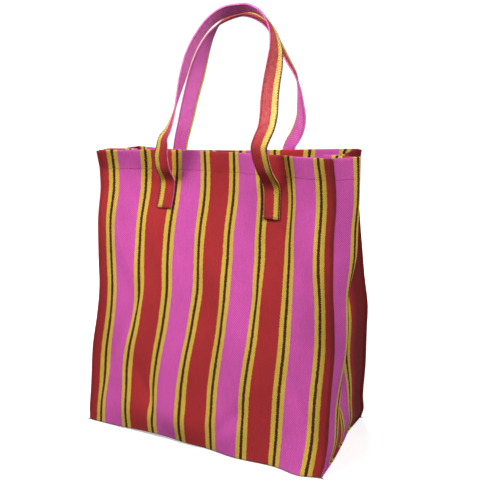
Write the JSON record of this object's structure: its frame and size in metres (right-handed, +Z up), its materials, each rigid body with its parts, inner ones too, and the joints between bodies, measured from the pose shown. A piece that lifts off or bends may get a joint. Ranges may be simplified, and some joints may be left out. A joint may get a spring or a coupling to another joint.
{
  "type": "tote bag",
  "caption": "Upright canvas tote bag with vertical stripes, folded gussets, an open mouth and a pair of folded strap handles that fold outwards.",
  "frame": {"origin": "middle of the base's underside, on the floor", "axes": "+X to the bag's right, +Y to its back, +Z up"},
  "size_m": [0.396, 0.18, 0.5778],
  "materials": {
    "canvas": "striped cotton canvas in crimson, magenta, mustard and dark brown",
    "strap": "the same canvas folded into a strap",
    "thread": "matt sewing thread"
  },
  "bodies": {
    "bag": {"base_panel": "canvas", "gusset_left": "canvas", "gusset_right": "canvas", "base_thread_left": "thread", "base_thread_right": "thread", "hem_thread_left": "thread", "hem_thread_right": "thread"},
    "front": {"front_panel": "canvas", "front_handle_end_left": "strap", "front_handle_end_right": "strap", "hem_thread_front": "thread", "corner_thread_front_left": "thread", "corner_thread_front_right": "thread", "box_thread_front_left": "thread", "box_thread_front_right": "thread"},
    "back": {"back_panel": "canvas", "back_handle_end_left": "strap", "back_handle_end_right": "strap", "hem_thread_back": "thread", "corner_thread_back_left": "thread", "corner_thread_back_right": "thread", "box_thread_back_left": "thread", "box_thread_back_right": "thread"},
    "front_handle": {"front_handle": "strap", "edge_thread_front_handle": "thread"},
    "back_handle": {"back_handle": "strap", "edge_thread_back_handle": "thread"}
  },
  "joints": [
    {"name": "front_opens", "type": "hinge", "parent": "bag", "child": "front", "pos_m": [0, -0.0905, 0.0014], "axis": [1, 0, 0], "range_deg": [0, 6]},
    {"name": "back_opens", "type": "hinge", "parent": "bag", "child": "back", "pos_m": [0, 0.0905, 0.0014], "axis": [-1, 0, 0], "range_deg": [0, 6]},
    {"name": "front_handle_folds", "type": "hinge", "parent": "front", "child": "front_handle", "pos_m": [0, -0.03988, 0.374], "axis": [0.989, -0.1481, 0], "range_deg": [0, 170]},
    {"name": "back_handle_folds", "type": "hinge", "parent": "back", "child": "back_handle", "pos_m": [0, 0.0313, 0.374], "axis": [-0.9985, -0.0541, 0], "range_deg": [0, 170]}
  ]
}
